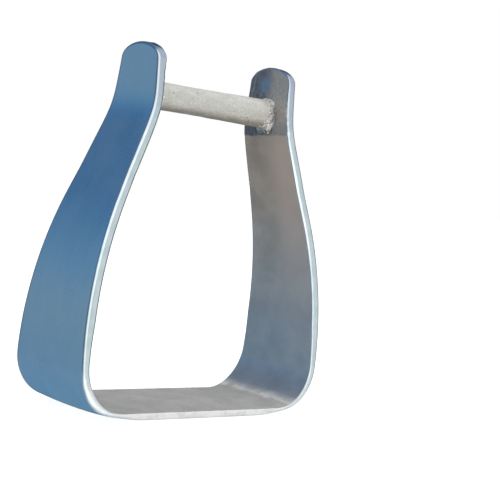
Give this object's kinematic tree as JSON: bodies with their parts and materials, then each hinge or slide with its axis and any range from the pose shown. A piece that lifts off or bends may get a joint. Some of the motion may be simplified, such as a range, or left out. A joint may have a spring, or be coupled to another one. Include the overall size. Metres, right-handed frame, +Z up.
{
  "type": "western stirrup iron",
  "caption": "Polished aluminium western stirrup: a bent strap with a flat tread, tapered legs and round-topped ears, joined by a welded round crossbar.",
  "frame": {"origin": "centre of the tread's underside, on the surface the stirrup stands on", "axes": "+X along the crossbar, +Y from the front to the back of the tread, +Z up"},
  "size_m": [0.1444, 0.0508, 0.1643],
  "materials": {
    "polished_strap": "polished, with fine belt lines; satin inside",
    "sandblasted_bar": "sandblasted, dull warm grey",
    "weld_bead": "as welded, rippled"
  },
  "bodies": {
    "root": {"strap": "polished_strap", "crossbar": "sandblasted_bar", "weld_left": "weld_bead", "weld_right": "weld_bead"}
  },
  "joints": []
}
